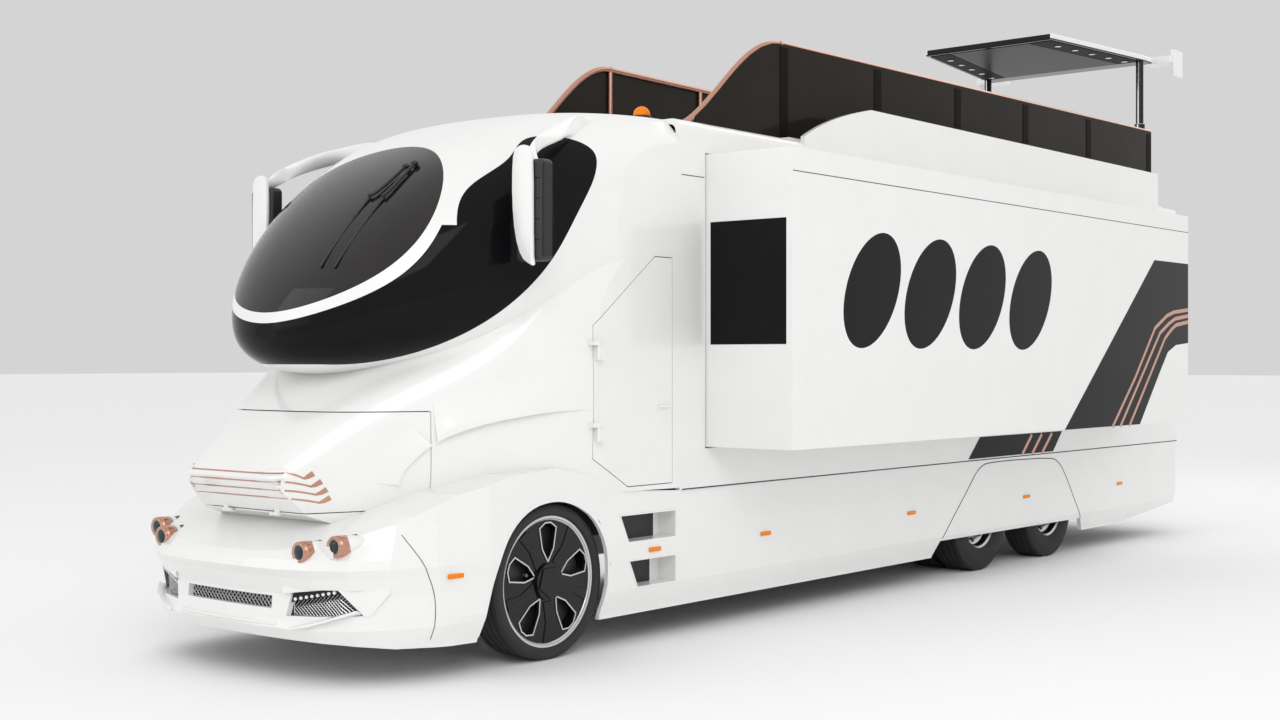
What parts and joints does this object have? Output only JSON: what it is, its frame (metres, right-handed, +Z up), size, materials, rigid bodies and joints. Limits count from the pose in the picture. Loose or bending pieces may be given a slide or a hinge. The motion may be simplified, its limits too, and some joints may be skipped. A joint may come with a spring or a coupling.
{
  "type": "motorhome",
  "caption": "Long three-axle motorhome with a bulbous glazed cab, an extended slide-out room with oval windows, a roof terrace with railings and a canopy on posts.",
  "frame": {"origin": "point on the ground under the middle of the front axle", "axes": "+X forward along the vehicle, +Y to its left, +Z up"},
  "size_m": [12.38, 3.493, 5.4799],
  "materials": {
    "body_white": "gloss",
    "copper_trim": "gloss",
    "black_glass": "gloss",
    "clear_glass": "gloss",
    "tyre_rubber": "matt",
    "dark_steel": "satin",
    "engine_iron": "satin",
    "black_plastic": "gloss",
    "floor_panel": "matt",
    "seat_leather": "satin",
    "lamp_lens": "gloss"
  },
  "bodies": {
    "vehicle_body": {"chassis_frame": "dark_steel", "engine_block": "engine_iron", "front_axle_beam": "dark_steel", "drive_axle": "dark_steel", "tag_axle": "dark_steel", "front_bumper": "body_white", "fender_left": "body_white", "fender_right": "body_white", "skirt_left": "body_white", "skirt_right": "body_white", "spat_left": "body_white", "spat_right": "body_white", "tail_skirt": "body_white", "house_shell": "body_white", "side_window_right": "black_glass", "rear_window": "black_glass", "floor_pan": "floor_panel", "parapet_left": "body_white", "parapet_right": "body_white", "terrace_deck": "body_white", "terrace_rail_left": "copper_trim", "terrace_rail_right": "copper_trim", "terrace_glass_left": "black_glass", "terrace_glass_right": "black_glass", "cab_shell": "body_white", "windscreen": "clear_glass", "windscreen_ring": "body_white", "front_glass_band": "black_glass", "side_glass_left": "black_glass", "side_glass_right": "black_glass", "cab_deck": "black_plastic", "driver_seat": "seat_leather", "passenger_seat": "seat_leather", "mirror_left": "body_white", "mirror_right": "body_white", "mirror_head_left": "black_plastic", "mirror_head_right": "black_plastic", "head_lamps_left": "lamp_lens", "head_lamps_right": "lamp_lens"},
    "steer_left_body": {"knuckle_left": "dark_steel"},
    "steer_right_body": {"knuckle_right": "dark_steel"},
    "front_left_spin_body": {"front_wheel_left": "black_plastic", "front_tyre_left": "tyre_rubber"},
    "front_right_spin_body": {"front_wheel_right": "black_plastic", "front_tyre_right": "tyre_rubber"},
    "drive_left_body": {"drive_wheels_left": "tyre_rubber"},
    "drive_right_body": {"drive_wheels_right": "tyre_rubber"},
    "tag_left_body": {"tag_wheel_left": "tyre_rubber"},
    "tag_right_body": {"tag_wheel_right": "tyre_rubber"},
    "cab_door_body": {"cab_door_left": "body_white"},
    "entrance_door_body": {"entrance_door": "body_white"},
    "bonnet_body": {"bonnet": "body_white"},
    "slide_out_body": {"slide_room": "body_white", "room_oval_glass": "black_glass", "room_rear_glass": "black_glass", "room_front_glass": "black_glass"},
    "canopy_body": {"canopy": "body_white"},
    "steering_wheel_body": {"steering_wheel": "black_plastic"}
  },
  "joints": [
    {"name": "steer_left", "type": "hinge", "parent": "vehicle_body", "child": "steer_left_body", "pos_m": [0, 0.85, 0.505], "axis": [0, 0, 1], "range_deg": [-32, 32]},
    {"name": "steer_right", "type": "hinge", "parent": "vehicle_body", "child": "steer_right_body", "pos_m": [0, -0.85, 0.505], "axis": [0, 0, 1], "range_deg": [-32, 32]},
    {"name": "front_left_spin", "type": "hinge", "parent": "steer_left_body", "child": "front_left_spin_body", "pos_m": [0, 1.07, 0.505], "axis": [0, 1, 0], "continuous": true},
    {"name": "front_right_spin", "type": "hinge", "parent": "steer_right_body", "child": "front_right_spin_body", "pos_m": [0, -1.07, 0.505], "axis": [0, 1, 0], "continuous": true},
    {"name": "drive_left_spin", "type": "hinge", "parent": "vehicle_body", "child": "drive_left_body", "pos_m": [-5.83, 0.905, 0.505], "axis": [0, 1, 0], "continuous": true},
    {"name": "drive_right_spin", "type": "hinge", "parent": "vehicle_body", "child": "drive_right_body", "pos_m": [-5.83, -0.905, 0.505], "axis": [0, 1, 0], "continuous": true},
    {"name": "tag_left_spin", "type": "hinge", "parent": "vehicle_body", "child": "tag_left_body", "pos_m": [-7.24, 1.07, 0.505], "axis": [0, 1, 0], "continuous": true},
    {"name": "tag_right_spin", "type": "hinge", "parent": "vehicle_body", "child": "tag_right_body", "pos_m": [-7.24, -1.07, 0.505], "axis": [0, 1, 0], "continuous": true},
    {"name": "cab_door_swing", "type": "hinge", "parent": "vehicle_body", "child": "cab_door_body", "pos_m": [-0.362, 1.305, 1.5], "axis": [0, 0, 1], "range_deg": [-70, 0]},
    {"name": "entrance_door_swing", "type": "hinge", "parent": "vehicle_body", "child": "entrance_door_body", "pos_m": [-3.312, -1.305, 2], "axis": [0, 0, 1], "range_deg": [0, 85]},
    {"name": "bonnet_tilt", "type": "hinge", "parent": "vehicle_body", "child": "bonnet_body", "pos_m": [1.454, 0.25, 0.993], "axis": [0, 1, 0], "range_deg": [0, 50]},
    {"name": "slide_out_travel", "type": "slide", "parent": "vehicle_body", "child": "slide_out_body", "axis": [0, 1, 0], "range_m": [-0.75, 0]},
    {"name": "canopy_lift", "type": "slide", "parent": "vehicle_body", "child": "canopy_body", "axis": [0, 0, 1], "range_m": [-0.7, 0]},
    {"name": "steering_wheel_turn", "type": "hinge", "parent": "vehicle_body", "child": "steering_wheel_body", "pos_m": [0.51, 0.56, 1.94], "axis": [-0.5736, 0, 0.8192], "range_deg": [-384, 384]}
  ],
  "couplings": [
    {"joint": "steer_right", "follows": "steer_left", "ratio": 1},
    {"joint": "steering_wheel_turn", "follows": "steer_left", "ratio": 12}
  ]
}
